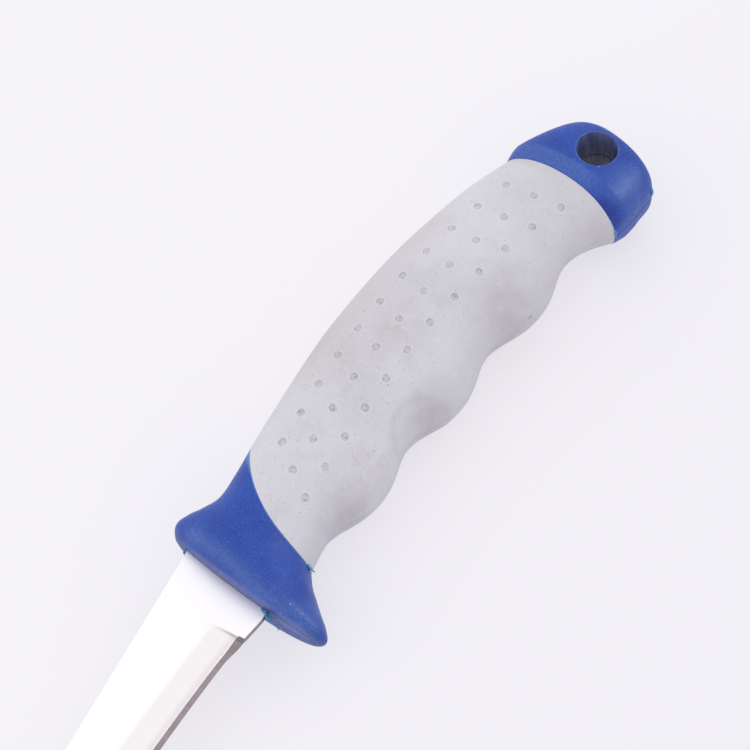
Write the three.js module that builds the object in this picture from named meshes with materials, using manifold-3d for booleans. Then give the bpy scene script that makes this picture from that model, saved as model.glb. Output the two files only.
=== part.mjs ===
// Fixed-blade fishing knife with a two-shot moulded handle, lying on its side.
// Millimetres. X runs to the blade's tip, Y to the cutting edge, Z up.
// The drawing's zero is where the blade's spine leaves the guard, halfway through the blade's thickness.
import * as THREE from "three";
import { mergeVertices } from "three/addons/utils/BufferGeometryUtils.js";
import Module from "manifold-3d";

// Blade
const BLADE_LENGTH = 150; // guard to tip, along the straight spine
const BLADE_THICKNESS = 1.9;
const HEEL_WIDTH = 19; // spine to edge at the guard
const HEEL_FRONT = 4.8; // where the lower corner of the heel leaves the guard
const RICASSO_LENGTH = 9.4; // unground stretch, measured from the drawing's zero
const RICASSO_TAPER = 1; // how much narrower the blade is where the grinding starts
const PLUNGE_LENGTH = 1.6; // run-out of the grinding wheel
const MIDDLE_WIDTH = 11.8; // spine to edge along the slim middle of the blade
const HEEL_REACH = 40; // how far the edge's curve at the heel reaches forward
const TIP_REACH = 35; // how far the edge's curve at the tip reaches back
const EDGE_STEP = 0.5; // how far the ground edge steps in from the ricasso
const BEVEL_WIDTH = 6.8; // ground bevel, from its upper line to the edge
const EDGE_BEVEL_WIDTH = 0.9; // sharpened bevel
const EDGE_BEVEL_THICKNESS = 0.6; // blade thickness where the sharpened bevel starts
const EDGE_THICKNESS = 0.1;
const TIP_BEVEL_SHARE = 0.9; // most of the width that the ground bevel takes near the tip
const TIP_EDGE_SHARE = 0.4; // and that the sharpened bevel takes

// Tang
const HEEL_INSERT = 4; // depth of the full-width heel inside the guard
const TANG_LENGTH = 62; // from the drawing's zero back into the handle
const TANG_WIDTH = 10;
const TANG_SPINE_GAP = 7; // how far the tang's upper side lies below the blade's spine
const TANG_HOLE_RADIUS = 2.6;
const TANG_HOLE_FIRST = 20; // from the drawing's zero to the first locking hole
const TANG_HOLE_PITCH = 24;
const TANG_HOLE_COUNT = 2;
const TANG_CLEARANCE = 0.3; // between the steel and the plastic moulded round it

// Spine side and belly side of the handle
const SPINE_OFFSET = 0.75; // handle's upper line below the blade's spine
const SPINE_STRAIGHT = 36; // straight stretch behind the guard
const SPINE_RADIUS = 152; // the spine then bends down to the pommel
const SPINE_DIP = 0.5; // extra dip of the spine just before the pommel
const SPINE_DIP_RUN = 12; // length of that dip
const FIRST_GROOVE = 14; // from the drawing's zero back to the first finger groove
const GROOVE_DEPTH = 21.7; // from the blade's spine down to the first finger groove
const BELLY_SLOPE = 0.178; // fall of the groove line for each millimetre back
const FINGER_PITCH = 23.9;
const FINGER_COUNT = 3;
const SWELL_HEIGHT = 2.8; // finger swells over the groove line
const SWELL_WIDEN = 0.2; // makes the swells wider than the grooves
const FRONT_FLARE = 0.45; // belly's rise from the first groove to the guard
const REAR_FLARE = 4.5; // belly's rise from the last groove to the pommel
const SCOOP_SHARE = 0.22; // how much thinner the grip is in a finger groove
const SCOOP_REACH = 13; // how far a finger groove reaches up the side

// Grip sleeve
const FRONT_SEAM_SPINE = 23.7; // sleeve's front end at the spine, back from the drawing's zero
const FRONT_SEAM_BELLY = 7.6; // and at the belly
const FRONT_SEAM_BOW = 3.4; // bulge of the front end towards the blade
const REAR_SEAM_SPINE = 98.3;
const REAR_SEAM_BELLY = 94.6;
const REAR_SEAM_BOW = -1.7; // bulge of the rear end, away from the blade
const FRONT_SEAM_HALF = 9.6; // half thickness of the handle at the sleeve's front end
const GRIP_HALF = 11.4; // and at the middle of the grip
const REAR_SEAM_HALF = 9;
const SLEEVE_WALL = 3;
const SLEEVE_CLEARANCE = 0.3; // between the sleeve and the core inside it
const SEAM_GAP = 0.3; // between the sleeve's ends and the guard and pommel
const CORE_OVERLAP = 0.05; // share of the grip's length that the core runs on into guard and pommel

// Dimples in three rows on each side, along the spine
const DIMPLE_RADIUS = 0.85;
const DIMPLE_DEPTH = 0.5;
const DIMPLE_ROWS = [
  { below: 6.8, sag: 0.9, first: 24.4, pitch: 6.58, count: 11 },
  { below: 11.3, sag: 2.2, first: 20.4, pitch: 7, count: 11 },
  { below: 15.75, sag: 3.1, first: 17.15, pitch: 6.68, count: 12 },
]; // each row's distance below the spine, its growth to the rear, its first dimple and its pitch
const DIMPLE_STRETCH = 0.006; // growth of the pitch from one dimple to the next

// Guard
const GUARD_SPINE_LOBE = 5.1; // how far the guard stands out over the handle's spine
const GUARD_BELLY_LOBE = 9.1; // and below the belly at the seam
const GUARD_LEAN = 4.4; // how much further forward the belly end of the guard is
const GUARD_BOW = 0.6; // bulge of the front
const GUARD_LAND_HALF = 1.2; // half height of the flat strip along the front
const GUARD_RIDGE_HALF = 9.2; // half thickness behind the rounded front
const NOSE_SHARE = 0.42; // share of the guard's length that is rounded
const GUARD_SPINE_OUTLINE = [
  [-0.5, 0.35],
  [-1.4, 0.78],
  [-3.7, 1],
  [-6.3, 0.78],
  [-8.6, 0.45],
  [-12, 0.08],
]; // distance forward, and height as a share of the lobe, from the front corner round the lobe
const GUARD_NECK = [0.45, 0]; // next point: its share of the way to the seam, and its share of the lobe
const GUARD_BELLY_OUTLINE = [
  [-0.5, 0.66],
  [-0.7, 0.9],
  [-1.9, 1],
  [-3.7, 0.86],
  [-5.6, 0.63],
  [-7.7, 0.39],
]; // the same for the belly's lobe, measured from where the guard leans to
const GUARD_THROAT = [0.42, 0.19];

// Pommel
const POMMEL_SPINE_OUTLINE = [
  [3.3, 0.8],
  [9, 4.5],
  [13, 8.3],
  [14.3, 12.7],
]; // distance back and down from the upper end of the rear seam
const POMMEL_BELLY_OUTLINE = [
  [3.8, 1.2],
  [7.2, 1.8],
  [12.3, 1.8],
  [15, -5.4],
]; // and from the lower end of the rear seam
const POMMEL_END_BOW = -1;
const COLLAR_HALF = 9.9; // half thickness at the collar's crest
const COLLAR_SHARE = 0.22; // share of the pommel's length that the collar takes
const POMMEL_END_HALF = 8.9; // half thickness that the flat sides slope down to at the end
const POMMEL_ROUND_SHARE = 0.38; // share of the length where the rounding of the end starts
const POMMEL_ROUND_POWER = 2.6; // 2 rounds the end like a circle, more is fuller
const POMMEL_SQUARENESS = 3.2; // of the sections behind the collar
const LANYARD_RADIUS = 4;
const LANYARD_BACK = 105.9; // hole's place, back from the drawing's zero
const LANYARD_DOWN = 30.9; // and below the blade's spine

// Sections and facets
const SQUARENESS = 2.35; // 2 is an ellipse, more is squarer
const GUARD_STEPS = 12;
const GRIP_STEPS = 42;
const POMMEL_STEPS = 14;
const CORE_STEPS = 10;
const AROUND_STEPS = 14;
const BLADE_STEPS = 26;
const ROUND_SIDES = 32;
const DIMPLE_SIDES = 8;
const MERGE_DISTANCE = 1e-4; // points closer than this are one point

const wasm = await Module();
wasm.setup();

// A closed geometry as a solid, and back.
function solid(geometry) {
  const bare = geometry.clone();
  bare.deleteAttribute("normal");
  bare.deleteAttribute("uv");
  const merged = mergeVertices(bare, MERGE_DISTANCE);
  return new wasm.Manifold(
    new wasm.Mesh({
      numProp: 3,
      vertProperties: merged.attributes.position.array,
      triVerts: new Uint32Array(merged.index.array),
    }),
  );
}

function geometryOf(manifold) {
  const mesh = manifold.getMesh();
  const geometry = new THREE.BufferGeometry();
  geometry.setAttribute("position", new THREE.BufferAttribute(mesh.vertProperties, 3));
  geometry.setIndex(new THREE.BufferAttribute(mesh.triVerts, 1));
  geometry.computeVertexNormals();
  return geometry;
}

function lerp(a, b, share) {
  return a + (b - a) * share;
}

// Side lines of the handle, as depth below the blade's spine at a distance back from the drawing's zero.
function spineLine(back) {
  const run = Math.max(back - SPINE_STRAIGHT, 0);
  const dip = THREE.MathUtils.smoothstep(back, REAR_SEAM_SPINE - SPINE_DIP_RUN, REAR_SEAM_SPINE);
  return SPINE_OFFSET + SPINE_RADIUS - Math.sqrt(SPINE_RADIUS ** 2 - run ** 2) + SPINE_DIP * dip;
}

function grooveLine(back) {
  return GROOVE_DEPTH + BELLY_SLOPE * Math.max(back - FIRST_GROOVE, 0);
}

function bellyLine(back) {
  const run = back - FIRST_GROOVE;
  const swells = FINGER_COUNT * FINGER_PITCH;
  if (run < 0) {
    return grooveLine(back) + FRONT_FLARE * (run / (FIRST_GROOVE - FRONT_SEAM_BELLY)) ** 2;
  }
  if (run < swells) {
    const turn = (2 * Math.PI * run) / FINGER_PITCH;
    return grooveLine(back) + (SWELL_HEIGHT * (1 - Math.cos(turn + SWELL_WIDEN * Math.sin(turn)))) / 2;
  }
  return grooveLine(back) + REAR_FLARE * ((run - swells) / (REAR_SEAM_BELLY - FIRST_GROOVE - swells)) ** 2;
}

// How deep a point of the plan lies in a finger groove: 1 at the belly, 0 at the groove's rounded upper end.
function fingerScoop(point) {
  let inside = 0;
  for (let i = 0; i <= FINGER_COUNT; i++) {
    const back = FIRST_GROOVE + i * FINGER_PITCH;
    const away = Math.hypot(point.x + back, point.y - grooveLine(back)) / SCOOP_REACH;
    inside = Math.max(inside, 1 - Math.min(away, 1) ** 2);
  }
  return inside;
}

// Each zone of the handle gives, at a share u of its length, its two side points, its bow, its half thickness,
// the squareness of its section and how much of the finger grooves it takes.
function gripStation(u) {
  const spineBack = lerp(FRONT_SEAM_SPINE, REAR_SEAM_SPINE, u);
  const bellyBack = lerp(FRONT_SEAM_BELLY, REAR_SEAM_BELLY, u);
  const ends = lerp(FRONT_SEAM_HALF, REAR_SEAM_HALF, u);
  const barrel = GRIP_HALF - lerp(FRONT_SEAM_HALF, REAR_SEAM_HALF, 0.5);
  return {
    spine: new THREE.Vector2(-spineBack, spineLine(spineBack)),
    belly: new THREE.Vector2(-bellyBack, bellyLine(bellyBack)),
    bow: lerp(FRONT_SEAM_BOW, REAR_SEAM_BOW, u),
    half: ends + barrel * Math.sin(Math.PI * THREE.MathUtils.clamp(u, 0, 1)),
    squareness: SQUARENESS,
    scoop: SCOOP_SHARE,
  };
}

// The core under the sleeve is the grip without its swells, drawn in by an inset.
function coreStation(inset) {
  return (u) => {
    const grip = gripStation(u);
    const spine = grip.spine.clone();
    const belly = new THREE.Vector2(grip.belly.x, grooveLine(-grip.belly.x));
    const across = belly.clone().sub(spine).normalize();
    return {
      spine: spine.addScaledVector(across, inset),
      belly: belly.addScaledVector(across, -inset),
      bow: grip.bow,
      half: grip.half - inset,
      squareness: SQUARENESS,
      scoop: 0,
    };
  };
}

const frontSeam = gripStation(0);
const rearSeam = gripStation(1);

// The guard's lobes, each a curve from the front corner round the lobe to the seam.
function lobeCurve(outline, neck, lean, depth, lobe, seam) {
  const points = outline.map(([forward, share]) => new THREE.Vector2(lean + forward, depth + share * lobe));
  const last = points[points.length - 1];
  points.push(new THREE.Vector2(lerp(last.x, seam.x, neck[0]), depth + neck[1] * lobe), seam);
  return new THREE.SplineCurve(points);
}

const spineSeam = frontSeam.spine;
const bellySeam = frontSeam.belly;
const guardSpine = lobeCurve(GUARD_SPINE_OUTLINE, GUARD_NECK, 0, spineSeam.y, -GUARD_SPINE_LOBE, spineSeam);
const guardBelly = lobeCurve(GUARD_BELLY_OUTLINE, GUARD_THROAT, GUARD_LEAN, bellySeam.y, GUARD_BELLY_LOBE, bellySeam);

function guardStation(u) {
  const nose = Math.min(u / NOSE_SHARE, 1);
  const rounded = Math.sqrt(1 - (1 - nose) ** 2);
  const neck = THREE.MathUtils.smoothstep(u, NOSE_SHARE, 1);
  const front = lerp(GUARD_LAND_HALF, GUARD_RIDGE_HALF, rounded);
  return {
    spine: guardSpine.getPoint(u),
    belly: guardBelly.getPoint(u),
    bow: lerp(GUARD_BOW, FRONT_SEAM_BOW, u),
    half: front + (FRONT_SEAM_HALF - GUARD_RIDGE_HALF) * neck,
    squareness: SQUARENESS,
    scoop: 0,
  };
}

// The pommel's sides, from the seam past the collar to the corners of its end.
function pommelCurve(outline, seam) {
  const points = outline.map(([back, down]) => new THREE.Vector2(seam.x - back, seam.y + down));
  return new THREE.SplineCurve([seam, ...points]);
}

const pommelSpine = pommelCurve(POMMEL_SPINE_OUTLINE, rearSeam.spine);
const pommelBelly = pommelCurve(POMMEL_BELLY_OUTLINE, rearSeam.belly);

function pommelStation(u) {
  const rise = Math.min(u / COLLAR_SHARE, 1);
  const fall = Math.max((u - COLLAR_SHARE) / (1 - COLLAR_SHARE), 0);
  const half = rise < 1 ? lerp(REAR_SEAM_HALF, COLLAR_HALF, rise) : lerp(COLLAR_HALF, POMMEL_END_HALF, fall);
  const end = Math.max((u - POMMEL_ROUND_SHARE) / (1 - POMMEL_ROUND_SHARE), 0);
  return {
    spine: pommelSpine.getPoint(u),
    belly: pommelBelly.getPoint(u),
    bow: lerp(REAR_SEAM_BOW, POMMEL_END_BOW, u),
    half: half * (1 - end ** POMMEL_ROUND_POWER) ** (1 / POMMEL_ROUND_POWER),
    squareness: lerp(SQUARENESS, POMMEL_SQUARENESS, rise),
    scoop: 0,
  };
}

// One row of points across the handle at a station, from the spine over the upper side to the belly.
function upperRow(station) {
  const chord = station.belly.clone().sub(station.spine);
  const normal = new THREE.Vector2(chord.y, -chord.x).normalize();
  const row = [];
  for (let k = 0; k <= AROUND_STEPS; k++) {
    const angle = (Math.PI * k) / AROUND_STEPS;
    const cosine = Math.cos(angle);
    const across = (1 - Math.sign(cosine) * Math.abs(cosine) ** (2 / station.squareness)) / 2;
    const height = k === AROUND_STEPS ? 0 : Math.sin(angle) ** (2 / station.squareness);
    const point = station.spine.clone().addScaledVector(chord, across);
    point.addScaledVector(normal, station.bow * 4 * across * (1 - across));
    const scoop = station.scoop * fingerScoop(point);
    row.push(new THREE.Vector3(point.x, point.y, station.half * height * (1 - scoop)));
  }
  return row;
}

// A closed ring round the handle at a station: the upper row, then the same points mirrored below.
function ring(station) {
  const upper = upperRow(station);
  const lower = upper.slice(1, -1).reverse();
  return upper.concat(lower.map((p) => new THREE.Vector3(p.x, p.y, -p.z)));
}

function triangles(list) {
  const geometry = new THREE.BufferGeometry();
  geometry.setFromPoints(list);
  return mergeVertices(geometry, MERGE_DISTANCE);
}

function evenShares(from, to, steps) {
  return Array.from({ length: steps + 1 }, (_, i) => lerp(from, to, i / steps));
}

// A solid lofted through a zone's rings at the given shares of its length, closed by strips at both ends.
function handleLoft(stationAt, shares) {
  const rings = shares.map((share) => ring(stationAt(share)));
  const steps = rings.length - 1;
  const list = [];
  const around = rings[0].length;
  for (let i = 0; i < steps; i++) {
    for (let k = 0; k < around; k++) {
      const next = (k + 1) % around;
      list.push(rings[i][k], rings[i][next], rings[i + 1][k]);
      list.push(rings[i][next], rings[i + 1][next], rings[i + 1][k]);
    }
  }
  closeEnd(list, rings[0], false);
  closeEnd(list, rings[steps], true);
  return solid(triangles(list.filter(keepTriangle)));
}

// The end face spans each upper point and the lower point under it.
function closeEnd(list, points, reverse) {
  const around = points.length;
  for (let k = 0; k < AROUND_STEPS; k++) {
    const corners = [points[k], points[(around - k) % around], points[around - k - 1], points[k + 1]];
    if (reverse) corners.reverse();
    list.push(corners[0], corners[1], corners[2]);
    list.push(corners[0], corners[2], corners[3]);
  }
}

// Drops a triangle that has shrunk to a line, such as those where an end comes to an edge.
function keepTriangle(point, index, list) {
  const first = index - (index % 3);
  const [a, b, c] = [list[first], list[first + 1], list[first + 2]];
  return Math.min(a.distanceTo(b), b.distanceTo(c), c.distanceTo(a)) > MERGE_DISTANCE;
}

function cylinder(radius, length, x, y, sides) {
  const geometry = new THREE.CylinderGeometry(radius, radius, length, sides);
  geometry.rotateX(Math.PI / 2);
  geometry.translate(x, y, 0);
  return solid(geometry);
}

// Blade: rings of eight points, from the heel in the guard to the tip.
const edgeStart = new THREE.Vector2(RICASSO_LENGTH + PLUNGE_LENGTH, HEEL_WIDTH - RICASSO_TAPER - EDGE_STEP);
const edgeCurve = new THREE.CubicBezierCurve(
  edgeStart,
  new THREE.Vector2(edgeStart.x + HEEL_REACH, MIDDLE_WIDTH),
  new THREE.Vector2(BLADE_LENGTH - TIP_REACH, MIDDLE_WIDTH),
  new THREE.Vector2(BLADE_LENGTH, 0),
);

function bladeRing(x, edge, bevel, edgeBevel, shoulderHalf, edgeHalf) {
  const half = BLADE_THICKNESS / 2;
  const upper = [
    new THREE.Vector3(x, 0, half),
    new THREE.Vector3(x, edge - bevel, half),
    new THREE.Vector3(x, edge - edgeBevel, shoulderHalf),
    new THREE.Vector3(x, edge, edgeHalf),
  ];
  const lower = upper.map((p) => new THREE.Vector3(p.x, p.y, -p.z));
  return upper.concat(lower.reverse());
}

function fullRing(x, width) {
  const half = BLADE_THICKNESS / 2;
  return bladeRing(x, width, BEVEL_WIDTH, EDGE_BEVEL_WIDTH, half, half);
}

function groundRing(x, width) {
  const bevel = Math.min(BEVEL_WIDTH, TIP_BEVEL_SHARE * width);
  const edgeBevel = Math.min(EDGE_BEVEL_WIDTH, TIP_EDGE_SHARE * width);
  return bladeRing(x, width, bevel, edgeBevel, EDGE_BEVEL_THICKNESS / 2, EDGE_THICKNESS / 2);
}

function bladeBody() {
  const rings = [
    fullRing(-HEEL_INSERT, HEEL_WIDTH),
    fullRing(HEEL_FRONT, HEEL_WIDTH),
    fullRing(RICASSO_LENGTH, HEEL_WIDTH - RICASSO_TAPER),
  ];
  for (let i = 0; i < BLADE_STEPS; i++) {
    const point = edgeCurve.getPoint(i / BLADE_STEPS);
    rings.push(groundRing(point.x, point.y));
  }
  const tip = new THREE.Vector3(BLADE_LENGTH, 0, 0);
  const list = [];
  const around = rings[0].length;
  for (let i = 0; i + 1 < rings.length; i++) {
    for (let k = 0; k < around; k++) {
      const next = (k + 1) % around;
      list.push(rings[i][k], rings[i + 1][k], rings[i][next]);
      list.push(rings[i][next], rings[i + 1][k], rings[i + 1][next]);
    }
  }
  const last = rings[rings.length - 1];
  for (let k = 0; k < around; k++) {
    list.push(last[k], tip, last[(k + 1) % around]);
    if (k > 0 && k + 1 < around) list.push(rings[0][0], rings[0][k], rings[0][k + 1]);
  }
  return solid(triangles(list));
}

// The tang's plate, or with a clearance the space for it, and its locking holes.
function tangPlate(clearance) {
  const top = TANG_SPINE_GAP - clearance;
  const bottom = TANG_SPINE_GAP + TANG_WIDTH + clearance;
  const round = TANG_WIDTH / 4;
  const end = -TANG_LENGTH - clearance;
  const overlap = HEEL_INSERT / 2;
  const outline = new THREE.Shape();
  outline.moveTo(overlap - HEEL_INSERT, top);
  outline.lineTo(overlap - HEEL_INSERT, bottom);
  outline.lineTo(end + round, bottom);
  outline.quadraticCurveTo(end, bottom, end, bottom - round);
  outline.lineTo(end, top + round);
  outline.quadraticCurveTo(end, top, end + round, top);
  outline.closePath();
  const depth = BLADE_THICKNESS + 2 * clearance;
  const geometry = new THREE.ExtrudeGeometry(outline, { depth, bevelEnabled: false, curveSegments: 4 });
  geometry.translate(0, 0, -depth / 2);
  let plate = solid(geometry);
  for (let i = 0; i < TANG_HOLE_COUNT; i++) {
    const x = -TANG_HOLE_FIRST - i * TANG_HOLE_PITCH;
    const y = TANG_SPINE_GAP + TANG_WIDTH / 2;
    plate = plate.subtract(cylinder(TANG_HOLE_RADIUS - clearance, 2 * depth, x, y, ROUND_SIDES / 2));
  }
  return plate;
}

// The slot that the full-width heel fills in the guard, open to the front.
function heelSlot() {
  const length = HEEL_INSERT + HEEL_FRONT + GUARD_LEAN + GUARD_BOW;
  const width = HEEL_WIDTH + 2 * TANG_CLEARANCE;
  const slot = new THREE.BoxGeometry(length + TANG_CLEARANCE, width, BLADE_THICKNESS + 2 * TANG_CLEARANCE);
  slot.translate(length / 2 - HEEL_INSERT - TANG_CLEARANCE / 2, HEEL_WIDTH / 2, 0);
  return solid(slot);
}

const blade = bladeBody().add(tangPlate(0));

// Handle core: guard, inner core and pommel in one moulding.
// The guard's rings lie closer at its rounded front, and the pommel's at its rounded end.
const guardShares = evenShares(0, 1, GUARD_STEPS).map((share) => 1 - Math.cos((share * Math.PI) / 2));
const pommelShares = evenShares(0, 1, POMMEL_STEPS).map((share) => Math.sin((share * Math.PI) / 2));
const coreShares = evenShares(-CORE_OVERLAP, 1 + CORE_OVERLAP, CORE_STEPS);
const guard = handleLoft(guardStation, guardShares);
const pommel = handleLoft(pommelStation, pommelShares);
const inner = handleLoft(coreStation(SLEEVE_WALL), coreShares);
const lanyardHole = cylinder(LANYARD_RADIUS, 4 * COLLAR_HALF, -LANYARD_BACK, LANYARD_DOWN, ROUND_SIDES);
const core = guard
  .add(inner)
  .add(pommel)
  .subtract(heelSlot())
  .subtract(tangPlate(TANG_CLEARANCE))
  .subtract(lanyardHole);

// Grip sleeve: the grip's outer shape, less the space for the core, with the dimples pressed in.
const endShare = SEAM_GAP / (REAR_SEAM_SPINE - FRONT_SEAM_SPINE);
const gripOuter = handleLoft(gripStation, evenShares(endShare, 1 - endShare, GRIP_STEPS));
const coreSpace = handleLoft(coreStation(SLEEVE_WALL - SLEEVE_CLEARANCE), coreShares);

// Each dimple is a shallow cap, sunk where a line straight down meets the grip.
function dimpleCutters() {
  const target = new THREE.Mesh(geometryOf(gripOuter));
  const ballRadius = (DIMPLE_RADIUS ** 2 + DIMPLE_DEPTH ** 2) / (2 * DIMPLE_DEPTH);
  const above = 4 * GRIP_HALF;
  const down = new THREE.Vector3(0, 0, -1);
  const cutters = [];
  for (const row of DIMPLE_ROWS) {
    let back = row.first;
    for (let i = 0; i < row.count; i++) {
      const ahead = 1 - i / (row.count - 1);
      const below = row.below + row.sag * (1 - ahead ** 2);
      const from = new THREE.Vector3(-back, spineLine(back) + below, above);
      const hit = new THREE.Raycaster(from, down).intersectObject(target)[0];
      const centre = hit.point.clone().addScaledVector(hit.face.normal, ballRadius - DIMPLE_DEPTH);
      for (const side of [1, -1]) {
        const ball = new THREE.SphereGeometry(ballRadius, DIMPLE_SIDES, DIMPLE_SIDES / 2);
        ball.rotateX(Math.PI / 2);
        ball.translate(centre.x, centre.y, side * centre.z);
        cutters.push(solid(ball));
      }
      const slant = Math.max(back - SPINE_STRAIGHT, 0) / SPINE_RADIUS;
      back += row.pitch * (1 + DIMPLE_STRETCH * i) * Math.sqrt(1 - slant ** 2);
    }
  }
  return cutters;
}

let sleeve = gripOuter.subtract(coreSpace);
for (const cutter of dimpleCutters()) {
  sleeve = sleeve.subtract(cutter);
}

// Materials
const steel = new THREE.MeshStandardMaterial({ color: 0xd9d8da, roughness: 0.18, metalness: 1 });
const bluePlastic = new THREE.MeshStandardMaterial({ color: 0x27479f, roughness: 0.5, metalness: 0 });
const greyRubber = new THREE.MeshStandardMaterial({ color: 0xc6c5cb, roughness: 0.8, metalness: 0 });

function piece(name, manifold, material) {
  const mesh = new THREE.Mesh(geometryOf(manifold), material);
  mesh.name = name;
  return mesh;
}

const knife = new THREE.Group();
knife.add(piece("blade", blade, steel));
knife.add(piece("handle_core", core, bluePlastic));
knife.add(piece("grip_sleeve", sleeve, greyRubber));

// The part's own zero is under the middle of the knife, on the surface that it lies on.
const box = new THREE.Box3().setFromObject(knife);
const middle = box.getCenter(new THREE.Vector3());
knife.position.set(-middle.x, -middle.y, -box.min.z);

const part = new THREE.Group();
part.add(knife);

export default part;
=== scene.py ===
"""Fishing knife with a two-shot moulded handle: its looks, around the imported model.

The shapes are drawn in millimetres, with X to the blade's tip, Y to the cutting edge and Z up.
The drawing's zero is where the blade's spine leaves the guard, halfway through the blade's
thickness. place() turns the drawing into the frame's metres.
"""
import math

import bpy
import numpy as np
from mathutils import Matrix, Vector


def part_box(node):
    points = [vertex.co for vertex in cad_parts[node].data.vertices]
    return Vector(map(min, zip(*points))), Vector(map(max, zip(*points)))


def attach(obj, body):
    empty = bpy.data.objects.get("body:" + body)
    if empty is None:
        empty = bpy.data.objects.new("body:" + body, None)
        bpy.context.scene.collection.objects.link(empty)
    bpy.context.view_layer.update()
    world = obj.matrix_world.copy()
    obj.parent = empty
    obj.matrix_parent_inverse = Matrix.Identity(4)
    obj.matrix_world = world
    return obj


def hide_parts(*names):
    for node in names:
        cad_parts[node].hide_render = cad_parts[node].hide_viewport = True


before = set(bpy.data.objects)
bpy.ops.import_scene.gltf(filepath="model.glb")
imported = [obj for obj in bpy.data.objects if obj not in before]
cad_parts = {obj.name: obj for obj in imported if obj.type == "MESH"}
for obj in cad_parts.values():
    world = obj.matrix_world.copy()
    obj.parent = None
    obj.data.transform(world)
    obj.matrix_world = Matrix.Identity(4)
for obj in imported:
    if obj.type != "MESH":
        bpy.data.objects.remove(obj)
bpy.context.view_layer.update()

MM = 0.001
MIRROR = (1, 1, -1)  # turns the upper side into the lower side
FAR = 9.0  # any distance too large to matter

# Blade
BLADE_LENGTH = 150.0
BLADE_THICKNESS = 1.9
HEEL_WIDTH = 19.0
HEEL_FRONT = 4.8
HEEL_INSERT = 4.0
RICASSO_LENGTH = 9.4
RICASSO_TAPER = 1.0
EDGE_STEP = 0.5  # how far the ground edge steps in from the ricasso's lower side
PLUNGE_LENGTH = 1.1
MIDDLE_WIDTH = 11.8
HEEL_REACH = 40.0
TIP_REACH = 35.0
TIP_WIDTH = 0.02
TIP_THINNING = 0.05  # last share of the edge, where the blade also thins out
BEVEL_WIDTH = 6.8
BEVEL_LIMIT = 0.92  # most of the blade's width that the bevel takes
EDGE_BEVEL_LIMIT = 0.4  # the same for the edge's own bevel
ROUND_LIMIT = 0.2  # the same for the spine's rounding
BEVEL_POWER = 1.2  # makes the bevel slightly convex
EDGE_BEVEL_WIDTH = 1.0
EDGE_FLARE = 0.6  # how much wider the edge's own bevel is where it starts
FLARE_START = 0.5  # share of the plunge where the flare is widest
FLARE_RUN = 5.0
EDGE_BEVEL_THICKNESS = 0.6
EDGE_THICKNESS = 0.08
SPINE_ROUND = 0.12
ROUND_MIDDLE = 0.3  # how far a rounding's middle lies inside its corner, in radii
TANG_LENGTH = 62.0
TANG_WIDTH = 10.0
TANG_SPINE_GAP = 7.0

# Side lines of the handle
SPINE_OFFSET = 0.75
SPINE_STRAIGHT = 36.0
SPINE_RADIUS = 152.0
SPINE_DIP = 0.5
SPINE_DIP_RUN = 12.0
FIRST_GROOVE = 14.0
GROOVE_DEPTH = 21.7
BELLY_SLOPE = 0.178
FINGER_PITCH = 23.9
FINGER_COUNT = 3
SWELL_HEIGHT = 2.8
SWELL_WIDEN = 0.2
FRONT_FLARE = 0.45
REAR_FLARE = 4.5
SCOOP_SHARES = (0.12, 0.22, 0.14, 0.08)  # how much of the grip's height each finger groove takes away
SCOOP_CENTRE = (-1.9, 3.5)  # from the groove's lowest point to the middle of the scoop's arc
SCOOP_RADIUS = 6.3
SOFT_RIM = 1.5  # where a scoop without a crease begins, in radii
CRISP_SCOOP = 1  # the finger groove whose scoop has a crease for a rim

# Grip sleeve
FRONT_SEAM_SPINE = 23.7
FRONT_SEAM_BELLY = 7.6
FRONT_SEAM_BOW = 3.4
REAR_SEAM_SPINE = 98.3
REAR_SEAM_BELLY = 94.6
REAR_SEAM_BOW = -1.7
FRONT_SEAM_HALF = 9.6
GRIP_HALF = 11.4
REAR_SEAM_HALF = 9.0
SLEEVE_WALL = 3.0
SLEEVE_CLEARANCE = 0.3
SEAM_GAP = 0.03

# Dimples: each row's distance below the spine, its growth to the rear, its first dimple, pitch and count
DIMPLE_ROWS = ((6.8, 0.9, 24.4, 6.58, 11), (11.3, 2.2, 20.4, 7.0, 11), (15.75, 3.1, 17.15, 6.68, 12))
DIMPLE_STRETCH = 0.006  # growth of the pitch from one dimple to the next
DIMPLE_RADIUS = 0.8
DIMPLE_DEPTH = 0.22
DIMPLE_EDGE = 1.05  # where the wall begins, in dimple radii like the next three
DIMPLE_WALL = 0.45
DIMPLE_RIM_AT = 1.2
DIMPLE_RIM_SPREAD = 0.22
DIMPLE_RIM = 0.05  # height of the soft rim

# Guard: an outline's points are a place along X and a share of the lobe's height
GUARD_SPINE_OUTLINE = ((-0.5, 0.35), (-1.4, 0.78), (-3.7, 1.0), (-6.3, 0.78), (-8.6, 0.45), (-12.0, 0.08))
GUARD_NECK = (0.45, 0.0)  # share of the way from the outline to the seam, and of the lobe's height
GUARD_SPINE_LOBE = 5.1
GUARD_BELLY_OUTLINE = ((-0.5, 0.66), (-0.7, 0.9), (-1.9, 1.0), (-3.7, 0.86), (-5.6, 0.63), (-7.7, 0.39))
GUARD_THROAT = (0.42, 0.19)  # the same on the belly
GUARD_BELLY_LOBE = 9.1
GUARD_LEAN = 4.4  # how far forward the belly's lobe is set
GUARD_BOW = 0.6
GUARD_LAND_HALF = 1.2
GUARD_RIDGE_HALF = 9.2
NOSE_SHARE = 0.42

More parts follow.
